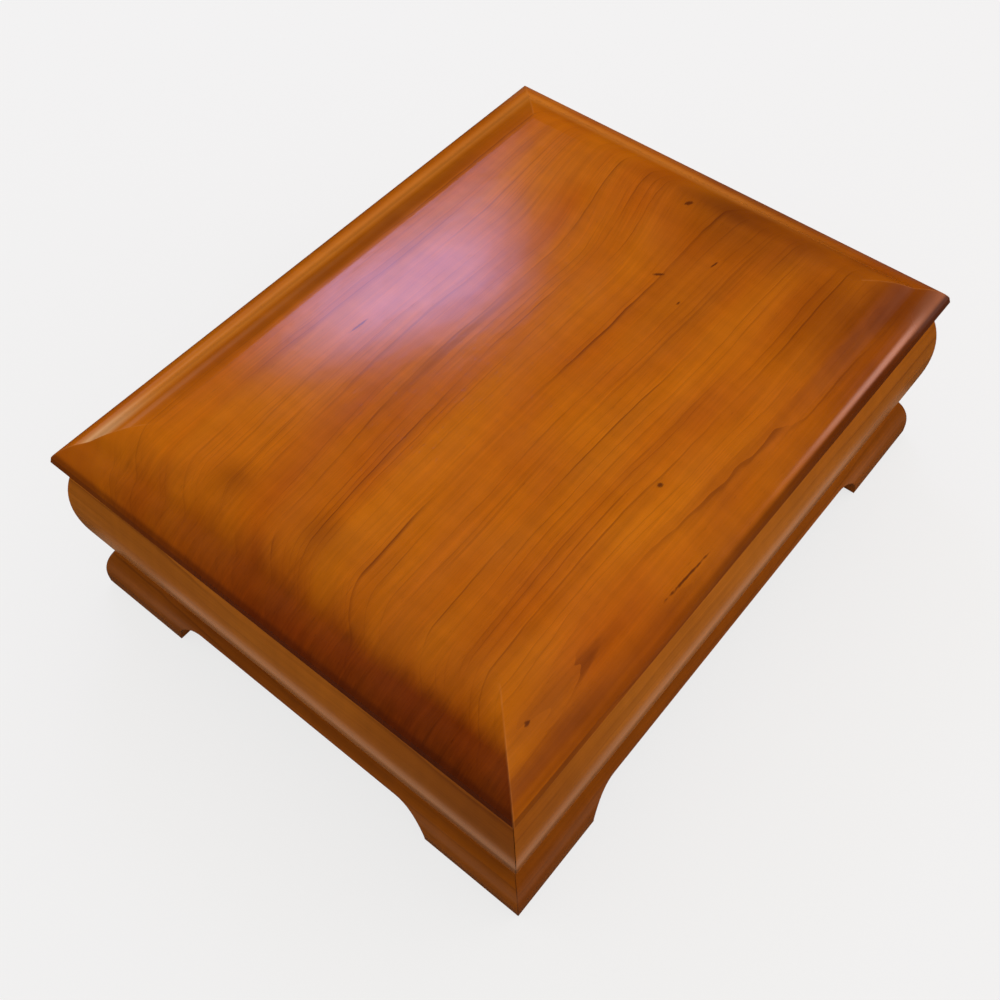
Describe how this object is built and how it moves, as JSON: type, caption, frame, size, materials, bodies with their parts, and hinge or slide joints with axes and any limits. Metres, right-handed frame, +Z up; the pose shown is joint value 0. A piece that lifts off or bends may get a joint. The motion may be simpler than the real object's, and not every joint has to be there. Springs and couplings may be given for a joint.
{
  "type": "badge display case",
  "caption": "Lacquered cherry display case for badges: a raised-panel lid hinged on a bulging, mitred, velvet-lined box, on a moulded base with arched bracket feet.",
  "frame": {"origin": "on the ground, under the middle of the case", "axes": "+X to the right along the case's longer side, +Y from the front to the hinged back, +Z up"},
  "size_m": [0.257, 0.2046, 0.0964],
  "materials": {
    "lid_cherry": "clear gloss lacquer over cherry, grain along the length",
    "wall_cherry": "clear gloss lacquer over cherry",
    "base_cherry": "clear satin lacquer over dark red-brown cherry",
    "maple": "bare pale hardwood",
    "plywood": "bare birch plywood",
    "fibreboard": "bare hardboard",
    "velvet": "dark blue cotton velvet",
    "foam": "pale open-cell foam",
    "felt": "dark brown pressed felt",
    "brass": "brushed brass",
    "zinc_steel": "zinc-plated steel"
  },
  "bodies": {
    "case_body": {"bottom_panel": "plywood", "wall_splines": "maple", "base_corner_blocks": "maple", "base_screws": "zinc_steel", "felt_foot_pads": "felt", "hinge_body_screws": "brass", "floor_lining": "velvet", "pad_board": "fibreboard", "pad_foam": "foam", "pad_cover": "velvet", "front_wall": "wall_cherry", "front_base_rail": "base_cherry", "front_lining": "velvet", "back_wall": "wall_cherry", "back_base_rail": "base_cherry", "back_lining": "velvet", "left_wall": "wall_cherry", "left_base_rail": "base_cherry", "left_lining": "velvet", "right_wall": "wall_cherry", "right_base_rail": "base_cherry", "right_lining": "velvet", "left_hinge_body_leaf": "brass", "left_hinge_pin": "brass", "right_hinge_body_leaf": "brass", "right_hinge_pin": "brass"},
    "lid": {"lid_panel": "lid_cherry", "left_hinge_lid_leaf": "brass", "right_hinge_lid_leaf": "brass", "hinge_lid_screws": "brass", "lid_lining": "velvet"}
  },
  "joints": [
    {"name": "lid_hinge", "type": "hinge", "parent": "case_body", "child": "lid", "pos_m": [0, 0.09735, 0.07775], "axis": [-1, 0, 0], "range_deg": [0, 105]}
  ]
}
